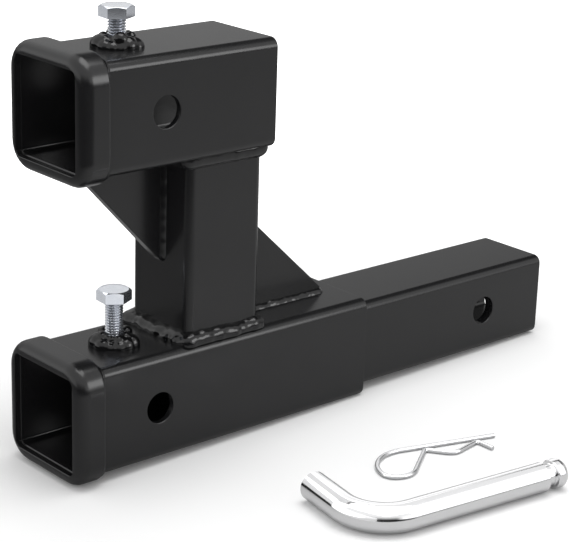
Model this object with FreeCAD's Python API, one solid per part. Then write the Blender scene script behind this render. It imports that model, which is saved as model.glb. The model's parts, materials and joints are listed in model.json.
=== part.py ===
import FreeCAD, Part
import math
import os
import random

# A riser for a 2 in trailer receiver. Two square receiver tubes with collars stand one above the
# other on a square post, a heavy-walled shank runs out of the rear of the lower tube, and each
# receiver has a welded nut with a set bolt. Its bent hitch pin and its spring clip lie beside it.
# Lengths are in millimetres. +X points out of the shank end, +Y lies along the pin holes, +Z is up.
# The origin is the centre of the pin hole through the shank.

# Driving dimensions
shank_size = 50.8
shank_wall = 6.35
shank_corner = 4.9
shank_inner_corner = 2.0
shank_rim_round = 0.8
shank_end_x = 50.0
shank_inset = 48.8
shank_hole_dia = 17.0

socket_clearance = 0.6
tube_wall = 3.7
tube_corner = 5.4
tube_bore_corner = 2.6
pin_hole_dia = 17.2
rise = 161.0

# The post's front face places the tubes: each is given by how far it runs ahead of and behind the post
post_front_x = -231.0
post_step = 4.7
post_wall = 5.0
post_corner = 4.6
post_inner_corner = 2.0
lower_ahead = 76.0
lower_behind = 77.8
lower_hole_ahead = 21.0
upper_ahead = 73.0
upper_behind = 4.4
upper_hole_ahead = 18.5

collar_wall = 4.5
collar_length = 17.0
collar_lip = 5.0
collar_corner = 15.5
collar_front_round = 7.0
collar_back_round = 4.2
collar_mouth_break = 0.9

gusset_thickness = 6.4
front_gusset_height = 58.0
front_gusset_edge = 4.0
rear_gusset_length = 64.5
rear_gusset_height = 60.4
gusset_nose = 3.6

lower_bolt_ahead = 30.0
upper_bolt_ahead = 28.5
bolt_crest_dia = 9.8
bolt_root_dia = 8.2
bolt_pitch = 1.5
thread_rise = 0.40
thread_crest = 0.55
thread_spacing = 0.95
bolt_length = 25.0
bolt_head_flats = 16.8
bolt_head_height = 6.4
lower_head_turn = 56.0
upper_head_turn = 55.0
lower_bolt_gap = 18.9
upper_bolt_gap = 9.4
bolt_tip_chamfer = 0.4
bolt_tip_height = 0.6
head_edge_break = 0.3
head_chamfer_angle = 30.0
nut_flats = 16.6
nut_height = 5.8
lower_nut_turn = 20.0
upper_nut_turn = 35.0
nut_bore_dia = 10.0
nut_cap_spread = 5.0

weld_foot_radius = 4.3
weld_foot_front_radius = 5.2
weld_foot_lift = 1.0
weld_head_radius = 5.2
weld_inset = 0.8
weld_gusset_radius = 3.9
weld_nut_radius = 3.6
weld_collar_radius = 2.0
weld_shank_radius = 2.2
weld_step = 5.6
weld_gusset_sink = 0.4
weld_ring_sink = 0.3
weld_ring_lift = 0.2
nut_weld_reach = 0.6
nut_weld_lumps = 9
lump_low = 0.98
lump_high = 1.10
nut_lump_low = 1.0
nut_lump_high = 1.28
nut_lump_turn = 9.0
nut_lump_lift = 0.9
front_seam_margin = 3.5
front_seam_tail = 1.0
rear_seam_margin = 0.5
rear_seam_tail = 2.0

pin_dia = 15.88
pin_bend_radius = 24.0
pin_leg_end = (-216.0, -112.0)
pin_corner = (-225.3, -164.7)
pin_head_end = (-103.8, -182.9)
pin_head_length = 7.8
pin_groove_length = 5.4
pin_groove_dia = 11.6
pin_head_round = 4.4
pin_leg_chamfer = 0.9

clip_wire_dia = 2.6
clip_loop_at = (-147.3, -98.2)
clip_turn = -19.2
clip_leg = 63.9
clip_loop_reach = 15.1
clip_loop_width = 30.3
clip_loop_slant = 19.3
clip_neck = (19.3, 3.7)
clip_wave = (32.7, 13.6)
clip_catch = (51.3, 3.8)
clip_tail = (55.2, 15.0)
clip_leg_bend = 21.3
clip_loop_bend = 8.3
clip_shoulder_bend = 11.6
clip_neck_bend = 2.3
clip_wave_bend = 7.0

# Derived sizes and places
tube_bore = shank_size + 2 * socket_clearance
tube_size = tube_bore + 2 * tube_wall
collar_size = tube_size + 2 * collar_wall
post_size = tube_size - 2 * post_step
tube_half = tube_size / 2.0
bore_half = tube_bore / 2.0
collar_half = collar_size / 2.0
post_rear_x = post_front_x + post_size
lower_front_x = post_front_x - lower_ahead
lower_rear_x = post_rear_x + lower_behind
lower_hole_x = post_front_x - lower_hole_ahead
upper_front_x = post_front_x - upper_ahead
upper_rear_x = post_rear_x + upper_behind
upper_hole_x = post_front_x - upper_hole_ahead
shank_start_x = lower_rear_x - shank_inset
bolt_x_lower = post_front_x - lower_bolt_ahead
bolt_x_upper = post_front_x - upper_bolt_ahead
upper_z = rise
lower_top_z = tube_half
upper_under_z = rise - tube_half
upper_top_z = rise + tube_half

# The floor touches the collar's lower back edge and the rear lower edge of the lower tube
rest_x = lower_front_x + collar_length - collar_back_round
rest_slope = (collar_half - tube_half) / (lower_rear_x - rest_x)
rest_angle = math.degrees(math.atan(rest_slope))

random.seed(7)


def vec(x, y, z):
    return FreeCAD.Vector(x, y, z)


def floor_z(x, lift=0.0):
    return -collar_half + rest_slope * (x - rest_x) + lift


def rounded_square(size, corner, x, z):
    # Square wire with round corners, in a plane across X
    h = size / 2.0
    r = corner
    k = h - r
    s = r * math.sqrt(0.5)
    edges = []
    turns = [(1, 1), (-1, 1), (-1, -1), (1, -1)]
    for i, (a, b) in enumerate(turns):
        c, d = turns[(i + 1) % 4]
        if a * b > 0:
            start = vec(x, a * h, z + b * k)
            mid = vec(x, a * (k + s), z + b * (k + s))
            end = vec(x, a * k, z + b * h)
        else:
            start = vec(x, a * k, z + b * h)
            mid = vec(x, a * (k + s), z + b * (k + s))
            end = vec(x, a * h, z + b * k)
        if c * d > 0:
            after = vec(x, c * h, z + d * k)
        else:
            after = vec(x, c * k, z + d * h)
        edges.append(Part.Arc(start, mid, end).toShape())
        edges.append(Part.makeLine(end, after))
    return Part.Wire(edges)


def square_bar(size, corner, x0, x1, z=0.0):
    face = Part.Face(rounded_square(size, corner, x0, z))
    return face.extrude(vec(x1 - x0, 0, 0))


def cross_pin(dia, x, z):
    # A cylinder along Y, longer than the collars are wide
    return Part.makeCylinder(dia / 2.0, 2 * collar_size, vec(x, -collar_size, z), vec(0, 1, 0))


def upright(dia, x, z0, z1):
    return Part.makeCylinder(dia / 2.0, z1 - z0, vec(x, 0, z0), vec(0, 0, 1))


def hexagon(flats, x, z0, height, turn):
    corner = flats / math.sqrt(3.0)
    points = []
    for i in range(7):
        a = math.radians(turn + 30.0 + 60.0 * i)
        points.append(vec(x + corner * math.cos(a), corner * math.sin(a), z0))
    return Part.Face(Part.makePolygon(points)).extrude(vec(0, 0, height))


def save(name, shape):
    if shape.ShapeType != "Solid" and len(shape.Solids) == 1:
        shape = shape.Solids[0]
    shape.exportStep("parts/" + name + ".step")
    print(name, "solids", len(shape.Solids), "valid", shape.isValid(), "volume", round(shape.Volume, 2))


# Receiver tubes, each with a pin hole through both sides and a bolt hole in the top wall
def receiver_tube(front_x, rear_x, hole_x, bolt_x, z):
    body = square_bar(tube_size, tube_corner, front_x + collar_lip, rear_x, z)
    bore = square_bar(tube_bore, tube_bore_corner, front_x, rear_x + tube_wall, z)
    body = body.cut(bore)
    body = body.cut(cross_pin(pin_hole_dia, hole_x, z))
    return body.cut(upright(nut_bore_dia, bolt_x, z + bore_half - tube_wall, z + tube_half + tube_wall))


lower_tube = receiver_tube(lower_front_x, lower_rear_x, lower_hole_x, bolt_x_lower, 0.0)
upper_tube = receiver_tube(upper_front_x, upper_rear_x, upper_hole_x, bolt_x_upper, upper_z)


# Collars, which cap the tube end with a lip and sleeve it behind the lip
def edges_in_plane(shape, x):
    found = []
    for edge in shape.Edges:
        box = edge.BoundBox
        if abs(box.XMin - x) < 0.001 and abs(box.XMax - x) < 0.001:
            found.append(edge)
    return found


def collar(front_x, z):
    back_x = front_x + collar_length
    past_x = back_x + collar_lip
    block = square_bar(collar_size, collar_corner, front_x, back_x, z)
    block = block.makeFillet(collar_front_round, edges_in_plane(block, front_x))
    block = block.makeFillet(collar_back_round, edges_in_plane(block, back_x))
    block = block.cut(square_bar(tube_bore, tube_bore_corner, front_x - collar_lip, past_x, z))
    block = block.cut(square_bar(tube_size, tube_corner, front_x + collar_lip, past_x, z))
    b = collar_mouth_break
    wide = rounded_square(tube_bore + 2 * b, tube_bore_corner + b, front_x, z)
    narrow = rounded_square(tube_bore, tube_bore_corner, front_x + b, z)
    return block.cut(Part.makeLoft([wide, narrow], True, True))


lower_collar = collar(lower_front_x, 0.0)
upper_collar = collar(upper_front_x, upper_z)

# Post between the tubes, a square tube stood on end
def post_bar(size, corner, z0, z1):
    bar = square_bar(size, corner, z0, z1, 0.0)
    bar.rotate(vec(0, 0, 0), vec(0, 1, 0), -90)
    bar.translate(vec(post_front_x + post_size / 2.0, 0, 0))
    return bar


post = post_bar(post_size, post_corner, lower_top_z, upper_under_z)
post_core = post_bar(
    post_size - 2 * post_wall, post_inner_corner, lower_top_z - post_wall, upper_under_z + post_wall)
post = post.cut(post_core)

# Shank, a heavy-walled square tube that starts inside the lower tube
shank = square_bar(shank_size, shank_corner, shank_start_x, shank_end_x)
shank = shank.makeFillet(shank_rim_round, edges_in_plane(shank, shank_end_x))
shank_hollow = shank_size - 2 * shank_wall
shank = shank.cut(square_bar(
    shank_hollow, shank_inner_corner, shank_start_x - shank_wall, shank_end_x + shank_wall))
shank = shank.cut(cross_pin(shank_hole_dia, 0.0, 0.0))


# Gusset plates with cut-off noses
def gusset(points):
    base = [vec(x, -gusset_thickness / 2.0, z) for x, z in points]
    base.append(base[0])
    return Part.Face(Part.makePolygon(base)).extrude(vec(0, gusset_thickness, 0))


fx = post_front_x
front_top_x = upper_front_x + collar_length + weld_collar_radius
front_gusset = gusset([
    (fx, upper_under_z),
    (front_top_x, upper_under_z),
    (front_top_x, upper_under_z - front_gusset_edge),
    (fx - gusset_nose, upper_under_z - front_gusset_height),
    (fx, upper_under_z - front_gusset_height)])
rx = post_rear_x
rear_gusset = gusset([
    (rx, lower_top_z),
    (rx + rear_gusset_length, lower_top_z),
    (rx + rear_gusset_length, lower_top_z + gusset_nose),
    (rx + gusset_nose, lower_top_z + rear_gusset_height),
    (rx, lower_top_z + rear_gusset_height)])


# Weld nuts and set bolts
def weld_nut(x, z, turn):
    nut = hexagon(nut_flats, x, z, nut_height, turn)
    half = nut_flats / 2.0
    nut = nut.common(Part.makeCone(half - head_edge_break + nut_cap_spread, half - head_edge_break,
                                   nut_height, vec(x, 0, z)))
    return nut.cut(upright(nut_bore_dia, x, z - nut_height, z + 2 * nut_height))


def set_bolt(x, tip_z, turn):
    # Full thread drawn as rings of one pitch, under a chamfered hexagon head
    r = bolt_crest_dia / 2.0
    q = bolt_root_dia / 2.0
    outline = [vec(0, 0, 0), vec(q - bolt_tip_chamfer, 0, 0)]
    turns = int(bolt_length / bolt_pitch) - 1
    z = bolt_tip_height
    for i in range(turns):
        outline.append(vec(q, 0, z))
        outline.append(vec(r, 0, z + thread_rise * bolt_pitch))
        outline.append(vec(r, 0, z + thread_crest * bolt_pitch))
        z = z + thread_spacing * bolt_pitch
    outline.append(vec(q, 0, z))
    outline.append(vec(q, 0, bolt_length - bolt_tip_height))
    outline.append(vec(q + bolt_tip_height, 0, bolt_length))
    outline.append(vec(0, 0, bolt_length))
    outline.append(outline[0])
    stem = Part.Face(Part.makePolygon(outline)).revolve(vec(0, 0, 0), vec(0, 0, 1), 360)
    head = hexagon(bolt_head_flats, 0, bolt_length, bolt_head_height, turn)
    wide = bolt_head_flats / 2.0 + bolt_head_height / math.tan(math.radians(head_chamfer_angle))
    narrow = bolt_head_flats / 2.0 - head_edge_break
    cone = Part.makeCone(wide, narrow, bolt_head_height, vec(0, 0, bolt_length))
    head = head.common(cone)
    bolt = stem.fuse(head).removeSplitter()
    bolt.translate(vec(x, 0, tip_z))
    return bolt


lower_nut = weld_nut(bolt_x_lower, lower_top_z, lower_nut_turn)
upper_nut = weld_nut(bolt_x_upper, upper_top_z, upper_nut_turn)
lower_tip_z = lower_top_z + nut_height + lower_bolt_gap - bolt_length
upper_tip_z = upper_top_z + nut_height + upper_bolt_gap - bolt_length
lower_bolt = set_bolt(bolt_x_lower, lower_tip_z, lower_head_turn)
upper_bolt = set_bolt(bolt_x_upper, upper_tip_z, upper_head_turn)


# Weld beads: rods along the seams with a row of overlapping lumps, trimmed by the metal they join
lump_axis = vec(0.31, 0.52, 0.80)


def scatter(radius):
    return radius * random.uniform(lump_low, lump_high)


def seam(a, b, radius, step=weld_step):
    a = vec(*a)
    b = vec(*b)
    run = b - a
    shapes = [Part.makeCylinder(radius, run.Length, a, run)]
    count = max(1, int(round(run.Length / step)))
    for i in range(count + 1):
        at = a + run * (i / float(count))
        shapes.append(Part.makeSphere(scatter(radius), at, lump_axis))
    return shapes


def ring_seam(points, radii):
    shapes = []
    for i, a in enumerate(points):
        b = points[(i + 1) % len(points)]
        shapes.extend(seam(a, b, radii[i]))
    return shapes


def bead(shapes, trims):
    body = shapes[0].multiFuse(shapes[1:])
    for trim in trims:
        body = body.cut(trim)
    solids = sorted(body.Solids, key=lambda s: -s.Volume)
    return solids[0]


def post_ring(z):
    # Corners of the seam around the post: near side first, then rear, far side and front
    x0 = post_front_x + weld_inset
    x1 = post_rear_x - weld_inset
    y = post_size / 2.0 - weld_inset
    return [(x0, -y, z), (x1, -y, z), (x1, y, z), (x0, y, z)]


def solid_tube(x0, x1, z):
    return square_bar(tube_size, tube_corner, x0, x1, z)


lower_solid = solid_tube(lower_front_x, lower_rear_x, 0.0)
upper_solid = solid_tube(upper_front_x, upper_rear_x, upper_z)
post_solid = post_bar(post_size, post_corner, lower_top_z - weld_foot_front_radius,
                      upper_under_z + weld_foot_front_radius)

foot_radii = [weld_foot_radius, weld_foot_radius, weld_foot_radius, weld_foot_front_radius]
head_radii = [weld_head_radius] * 4
foot_weld = bead(
    ring_seam(post_ring(lower_top_z + weld_foot_lift), foot_radii),
    [lower_solid, post_solid, rear_gusset])
head_weld = bead(
    ring_seam(post_ring(upper_under_z), head_radii),
    [upper_solid, post_solid, front_gusset])

gy = gusset_thickness / 2.0 - weld_gusset_sink


def gusset_beads(corner_x, corner_z, end_x, end_z):
    shapes = []
    for y in (-gy, gy):
        corner = (corner_x, y, corner_z)
        shapes.extend(seam(corner, (end_x, y, corner_z), weld_gusset_radius))
        shapes.extend(seam(corner, (corner_x, y, end_z), weld_gusset_radius))
    return shapes


front_weld = bead(
    gusset_beads(fx, upper_under_z, front_top_x + front_seam_margin,
                 upper_under_z - front_gusset_height + front_seam_tail),
    [upper_solid, post_solid, front_gusset, head_weld])
rear_weld = bead(
    gusset_beads(rx, lower_top_z, rx + rear_gusset_length - rear_seam_margin,
                 lower_top_z + rear_gusset_height - rear_seam_tail),
    [lower_solid, post_solid, rear_gusset, foot_weld])


def nut_bead(x, z, turn):
    # A lumpy ring around the foot of the nut
    ring_radius = nut_flats / 2.0 + nut_weld_reach
    shapes = [Part.makeTorus(ring_radius, weld_nut_radius, vec(x, 0, z))]
    for i in range(nut_weld_lumps):
        a = math.radians(360.0 / nut_weld_lumps * i + random.uniform(-nut_lump_turn, nut_lump_turn))
        r = weld_nut_radius * random.uniform(nut_lump_low, nut_lump_high)
        lift = random.uniform(0.0, nut_lump_lift)
        at = vec(x + ring_radius * math.cos(a), ring_radius * math.sin(a), z + lift)
        shapes.append(Part.makeSphere(r, at))
    below = Part.makeBox(tube_size, tube_size, tube_half, vec(x - tube_half, -tube_half, z - tube_half))
    inner = upright(nut_bore_dia, x, z - nut_height, z + 2 * nut_height)
    return bead(shapes, [below, inner, hexagon(nut_flats, x, z - nut_height, 2 * nut_height, turn)])


lower_nut_weld = nut_bead(bolt_x_lower, lower_top_z, lower_nut_turn)
upper_nut_weld = nut_bead(bolt_x_upper, upper_top_z, upper_nut_turn)


def square_ring(size, corner, radius, x, z):
    # A round rod bent around a square tube
    path = rounded_square(size, corner, x, z)
    half = size / 2.0
    circle = Part.Wire([Part.makeCircle(radius, vec(x, half, z), vec(0, 0, 1))])
    start = vec(x, half, z + half - corner)
    circle.translate(start - vec(x, half, z))
    return path.makePipeShell([circle], True, True)


def space_ahead(x, z):
    # A block that ends at x and clears the collar's sides
    d = collar_length
    return Part.makeBox(d, 2 * collar_size, 2 * collar_size, vec(x - d, -collar_size, z - collar_size))


def collar_bead(front_x, z, solid):
    back = front_x + collar_length
    ring = square_ring(tube_size - 2 * weld_ring_sink, tube_corner, weld_collar_radius, back, z)
    return bead([ring], [space_ahead(back, z), solid])


lower_collar_weld = collar_bead(lower_front_x, 0.0, lower_solid)
upper_collar_weld = collar_bead(upper_front_x, upper_z, upper_solid)
upper_collar_weld = upper_collar_weld.cut(front_gusset).cut(front_weld)
upper_collar_weld = sorted(upper_collar_weld.Solids, key=lambda s: -s.Volume)[0]

# Cap bead that closes the step between the lower tube's rear end and the shank
shank_ring = square_ring(
    shank_size + 2 * weld_ring_lift, shank_corner, weld_shank_radius, lower_rear_x, 0.0)
shank_solid = square_bar(shank_size, shank_corner, shank_start_x, shank_end_x)
shank_weld = bead([shank_ring], [space_ahead(lower_rear_x, 0.0), shank_solid])


# Hitch pin: straight bar, one bend, a groove and a domed head, lying on the floor
def floor_point(xy, lift):
    return vec(xy[0], xy[1], floor_z(xy[0], lift))


def bent_bar(points, bends, radius):
    # Straight runs joined by tangent arcs, with one bend radius for each inner point
    edges = []
    start = points[0]
    for i, bend in enumerate(bends):
        b = points[i + 1]
        back = (points[i] - b).normalize()
        ahead = (points[i + 2] - b).normalize()
        half = math.acos(back.dot(ahead)) / 2.0
        reach = bend / math.tan(half)
        p = b + back * reach
        q = b + ahead * reach
        middle = (back + ahead).normalize()
        top = b + middle * (bend / math.sin(half) - bend)
        edges.append(Part.makeLine(start, p))
        edges.append(Part.Arc(p, top, q).toShape())
        start = q
    edges.append(Part.makeLine(start, points[-1]))
    circle = Part.Wire([Part.makeCircle(radius, points[0], points[1] - points[0])])
    return Part.Wire(edges).makePipeShell([circle], True, True)


pin_radius = pin_dia / 2.0
pin_points = [floor_point(xy, pin_radius) for xy in (pin_leg_end, pin_corner, pin_head_end)]
hitch_pin = bent_bar(pin_points, [pin_bend_radius], pin_radius)
along = (pin_points[2] - pin_points[1]).normalize()
groove_from = pin_points[2] - along * (pin_head_length + pin_groove_length)
groove_ring = Part.makeCylinder(pin_dia, pin_groove_length, groove_from, along)
groove_ring = groove_ring.cut(Part.makeCylinder(pin_groove_dia / 2.0, pin_groove_length, groove_from, along))
hitch_pin = hitch_pin.cut(groove_ring)
end_edges = []
for edge in hitch_pin.Edges:
    if hasattr(edge.Curve, "Center") and (edge.Curve.Center - pin_points[2]).Length < 0.01:
        end_edges.append(edge)
hitch_pin = hitch_pin.makeFillet(pin_head_round, end_edges)
leg_edges = []
for edge in hitch_pin.Edges:
    if hasattr(edge.Curve, "Center") and (edge.Curve.Center - pin_points[0]).Length < 0.01:
        leg_edges.append(edge)
hitch_pin = hitch_pin.makeChamfer(pin_leg_chamfer, leg_edges)

# Spring clip: one wire in one plane, with a straight leg, a loop and a waved leg
wire_radius = clip_wire_dia / 2.0
clip_corners = [
    (clip_leg, 0.0, 0.0),
    (-clip_loop_reach, 0.0, clip_leg_bend),
    (-clip_loop_reach, clip_loop_width, clip_loop_bend),
    (clip_neck[0] - clip_loop_slant, clip_loop_width, clip_shoulder_bend),
    (clip_neck[0], clip_neck[1], clip_neck_bend),
    (clip_wave[0], clip_wave[1], clip_wave_bend),
    (clip_catch[0], clip_catch[1], clip_neck_bend),
    (clip_tail[0], clip_tail[1], 0.0)]
turn = math.radians(clip_turn)


def clip_point(u, w):
    # u runs along the straight leg, w across it towards the loop's belly
    x = clip_loop_at[0] + u * math.cos(turn) + w * math.sin(turn)
    y = clip_loop_at[1] + u * math.sin(turn) - w * math.cos(turn)
    return floor_point((x, y), wire_radius)


clip_points = [clip_point(u, w) for u, w, bend in clip_corners]
clip_bends = [bend for u, w, bend in clip_corners[1:-1]]
hairpin_clip = bent_bar(clip_points, clip_bends, wire_radius)

os.makedirs("parts", exist_ok=True)
pieces = [
    ("lower_receiver_tube", lower_tube),
    ("upper_receiver_tube", upper_tube),
    ("lower_collar", lower_collar),
    ("upper_collar", upper_collar),
    ("post", post),
    ("shank", shank),
    ("front_gusset", front_gusset),
    ("rear_gusset", rear_gusset),
    ("lower_weld_nut", lower_nut),
    ("upper_weld_nut", upper_nut),
    ("lower_set_bolt", lower_bolt),
    ("upper_set_bolt", upper_bolt),
    ("post_foot_weld", foot_weld),
    ("post_head_weld", head_weld),
    ("front_gusset_weld", front_weld),
    ("rear_gusset_weld", rear_weld),
    ("lower_nut_weld", lower_nut_weld),
    ("upper_nut_weld", upper_nut_weld),
    ("lower_collar_weld", lower_collar_weld),
    ("upper_collar_weld", upper_collar_weld),
    ("shank_weld", shank_weld),
    ("hitch_pin", hitch_pin),
    ("hairpin_clip", hairpin_clip)]
for name, shape in pieces:
    save(name, shape)
print("rest angle", round(rest_angle, 3))
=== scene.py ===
# %% [markdown]
# # A receiver riser for a trailer hitch
# The object is a black powder-coated steel weldment: two square receiver tubes with collars, one above
# the other on a square post, and a hollow shank that slides into the receiver of a truck. Each receiver
# has a welded nut with a zinc-plated set bolt. A chrome-plated bent pin and a spring clip lie beside it.
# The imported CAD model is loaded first. It fixes every place and size, so all that is made here is put
# straight where the CAD says, in metres.

# %% Load the frame
import json
import math

import bmesh
import bpy
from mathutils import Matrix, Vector

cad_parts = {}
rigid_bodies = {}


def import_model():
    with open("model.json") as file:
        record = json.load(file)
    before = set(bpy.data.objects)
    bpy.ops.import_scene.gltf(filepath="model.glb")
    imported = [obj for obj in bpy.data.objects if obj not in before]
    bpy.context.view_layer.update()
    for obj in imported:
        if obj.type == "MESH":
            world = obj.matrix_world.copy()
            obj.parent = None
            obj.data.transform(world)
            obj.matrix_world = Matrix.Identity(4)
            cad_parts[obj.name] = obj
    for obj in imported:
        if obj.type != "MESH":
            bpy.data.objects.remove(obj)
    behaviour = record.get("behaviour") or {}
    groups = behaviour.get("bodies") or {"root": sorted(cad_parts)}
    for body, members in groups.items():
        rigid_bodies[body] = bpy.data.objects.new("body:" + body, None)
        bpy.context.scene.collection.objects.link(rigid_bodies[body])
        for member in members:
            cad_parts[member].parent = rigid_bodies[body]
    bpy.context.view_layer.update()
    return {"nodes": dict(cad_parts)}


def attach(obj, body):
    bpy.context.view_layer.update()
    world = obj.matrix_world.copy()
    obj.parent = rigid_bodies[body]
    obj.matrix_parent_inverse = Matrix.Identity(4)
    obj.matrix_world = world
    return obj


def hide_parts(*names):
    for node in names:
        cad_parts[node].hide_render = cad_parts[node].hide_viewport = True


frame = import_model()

MM = 0.001

# %% [markdown]
# ## Small tools
# Colours are written as the sRGB hex values that a designer reads from a swatch. Cycles works in linear
# light, so one function converts them. One more function adds a node with its settings and links, for
# materials, the world and Geometry Nodes alike, and a third puts an object into the scene.

# %% Helpers for colours, nodes and objects
SMOOTH = {"interpolation_type": "SMOOTHSTEP"}


def linear(hex_code):
    """A colour such as #1a1a1b as linear red, green, blue and alpha."""
    parts = [int(hex_code[i:i + 2], 16) / 255 for i in (1, 3, 5)]
    return [c / 12.92 if c <= 0.04045 else ((c + 0.055) / 1.055) ** 2.4 for c in parts] + [1.0]


def add(tree, kind, inputs=None, **settings):
    """A node with its settings; each input is a value, or a socket to link."""
    made = tree.nodes.new(kind)
    for name, value in settings.items():
        setattr(made, name, value)
    for key, value in (inputs or {}).items():
        if isinstance(value, bpy.types.NodeSocket):
            tree.links.new(value, made.inputs[key])
        else:
            made.inputs[key].default_value = value
    return made


def new_object(name, data):
    made = bpy.data.objects.new(name, data)
    bpy.context.scene.collection.objects.link(made)
    return made


# %% [markdown]
# ## Camera
# The photograph is taken from in front and to the left, a little above, with a long lens about a metre
# away. Its place was solved from the straight edges of the part, so the render lies over the picture.

# %% The camera
CAMERA_AT = Vector((-820.658, -772.250, 394.634)) * MM
CAMERA_YAW, CAMERA_PITCH, CAMERA_ROLL = 0.721451, -0.326357, 0.031112
SENSOR_MM, FOCAL_PIXELS, PICTURE_PIXELS = 36.0, 1903.05, 569.0
LENS_MM = SENSOR_MM * FOCAL_PIXELS / PICTURE_PIXELS


def place_camera():
    forward = Vector((
        math.sin(CAMERA_YAW) * math.cos(CAMERA_PITCH),
        math.cos(CAMERA_YAW) * math.cos(CAMERA_PITCH),
        math.sin(CAMERA_PITCH)))
    level = forward.cross(Vector((0, 0, 1))).normalized()
    upright = level.cross(forward)
    right = math.cos(CAMERA_ROLL) * level + math.sin(CAMERA_ROLL) * upright
    up = -math.sin(CAMERA_ROLL) * level + math.cos(CAMERA_ROLL) * upright
    data = bpy.data.cameras.new("camera")
    data.lens = LENS_MM
    data.sensor_width = SENSOR_MM
    data.clip_start, data.clip_end = 0.05, 20.0
    camera = new_object("camera", data)
    turn = camera.matrix_world.copy()
    for row in range(3):
        turn[row][0], turn[row][1], turn[row][2] = right[row], up[row], -forward[row]
        turn[row][3] = CAMERA_AT[row]
    camera.matrix_world = turn
    bpy.context.scene.camera = camera


place_camera()
print("lens", round(LENS_MM, 1), "mm")

# %% [markdown]
# ## Black powder coat
# Polyester powder is sprayed on dry and baked until it flows. It sets to a satin plastic film with a
# faint orange-peel ripple about a millimetre and a half across, so reflections are soft and the black
# looks grey where a white surface is mirrored at a low angle. A flat black would look like paper. Here
# one soft noise drifts the colour and the roughness, because the film varies in thickness, and a finer
# one lifts the surface. Over a weld the film is glossier.

# %% Powder coat materials


def clouded_finish(name, colours, cloud, rough, wander, ripple, relief_mm, **sockets):
    """cloud and ripple are noises, given as (size in mm, detail, roughness)."""
    material = bpy.data.materials.new(name)
    material.use_nodes = True
    tree = material.node_tree
    tree.nodes.clear()
    shader = add(tree, "ShaderNodeBsdfPrincipled", sockets)
    add(tree, "ShaderNodeOutputMaterial", {"Surface": shader.outputs[0]})
    where = add(tree, "ShaderNodeTexCoord").outputs["Object"]
    cloud, ripple = [add(tree, "ShaderNodeTexNoise", {
        "Vector": where, "Scale": 1 / (size_mm * MM), "Detail": detail, "Roughness": grain}).outputs["Fac"]
        for size_mm, detail, grain in (cloud, ripple)]
    low, high = [linear(colour) for colour in colours]
    tint = add(tree, "ShaderNodeMix", {"Factor": cloud, "A": low, "B": high}, data_type="RGBA")
    tree.links.new(tint.outputs["Result"], shader.inputs["Base Color"])
    spread = add(tree, "ShaderNodeMapRange", {
        "Value": cloud, "To Min": rough - wander, "To Max": rough + wander})
    tree.links.new(spread.outputs[0], shader.inputs["Roughness"])
    bump = add(tree, "ShaderNodeBump", {"Height": ripple, "Strength": 1.0, "Distance": relief_mm * MM})
    tree.links.new(bump.outputs[0], shader.inputs["Normal"])
    print("material", name)
    return material


black_coat = clouded_finish("powder_coated_steel", ("#161617", "#1c1c1d"), (28, 3.0, 0.5), 0.23, 0.03,
                            (1.5, 1.0, 0.4), 0.006, IOR=1.48)
weld_coat = clouded_finish("powder_coated_weld", ("#0e0e0f", "#141415"), (28, 3.0, 0.5), 0.13, 0.03,
                           (1.5, 1.0, 0.4), 0.006, IOR=1.48)

# %% [markdown]
# ## Zinc, chrome and spring wire
# The set bolts are zinc plated and passivated: a bright, slightly bluish metal whose film clouds a
# little from place to place. The pin is chrome plated over a drawn bar, nearly a mirror, with the
# faintest ripple. The clip is bright galvanised spring wire. Real metals keep the default IOR; metallic
# is 1, and the colour is the reflection itself. The zinc stays a little below 1, because its thin film
# scatters some light and so keeps its darkest facets from going black.

# %% Metal materials
zinc = clouded_finish("zinc_plated_steel", ("#bfc4cd", "#dee0e5"), (5, 4.0, 0.6), 0.13, 0.03,
                      (0.6, 2.0, 0.5), 0.002, Metallic=0.94)
chrome = clouded_finish("chrome_plated_steel", ("#ececed", "#f4f4f5"), (12, 4.0, 0.6), 0.11, 0.02,
                        (2.5, 2.0, 0.5), 0.002, Metallic=1.0)
wire = clouded_finish("galvanised_spring_wire", ("#cfd0d2", "#e4e4e5"), (4, 4.0, 0.6), 0.16, 0.04,
                      (0.8, 2.0, 0.5), 0.003, Metallic=1.0)

# %% [markdown]
# ## Finishing a piece
# Every piece is made at the origin with its place in its mesh. A finished piece rides on a CAD body,
# takes the material it is given, and hides the CAD node that it stands for. Edges sharper than 30
# degrees stay crisp, and weighted normals keep the flat walls flat next to their round corners.

# %% From a mesh to a finished piece


def settle(made):
    """Applies the modifiers and leaves a plain mesh."""
    looked_at = made.evaluated_get(bpy.context.evaluated_depsgraph_get())
    mesh = bpy.data.meshes.new_from_object(looked_at)
    made.modifiers.clear()
    made.data = mesh
    return made


def finish_piece(made, material, body, slot, *nodes, crease=30.0):
    mesh = made.data
    mesh.materials.clear()
    mesh.materials.append(material)
    for face in mesh.polygons:
        face.use_smooth = True
        face.material_index = 0
    mesh.set_sharp_from_angle(angle=math.radians(crease))
    weighted = made.modifiers.new("weighted", "WEIGHTED_NORMAL")
    weighted.keep_sharp = True
    settle(made)
    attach(made, body)
    if nodes:
        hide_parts(*nodes)
    print(made.name, len(made.data.polygons), "faces")


def coat(made, node):
    finish_piece(made, black_coat, "weldment", "black_powder_coat", node)


# %% [markdown]
# ## Square tube
# A rolled square tube is one section pushed along a line: a square with round corners. A bevelled box
# with a Boolean for the bore would do, but its cut ends would stay sharp. Here the wall is described by
# the path that its edge takes, as a list of (distance along, half width, corner radius). Each entry
# becomes one rounded square and neighbours are joined by quads, so a cut end gets a small rounded rim
# where the coating softens the saw cut.

# %% Rounded squares lofted along a line
CORNER_STEPS = 8
RING = 4 * (CORNER_STEPS + 1)
print("points round a square", RING)


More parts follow.
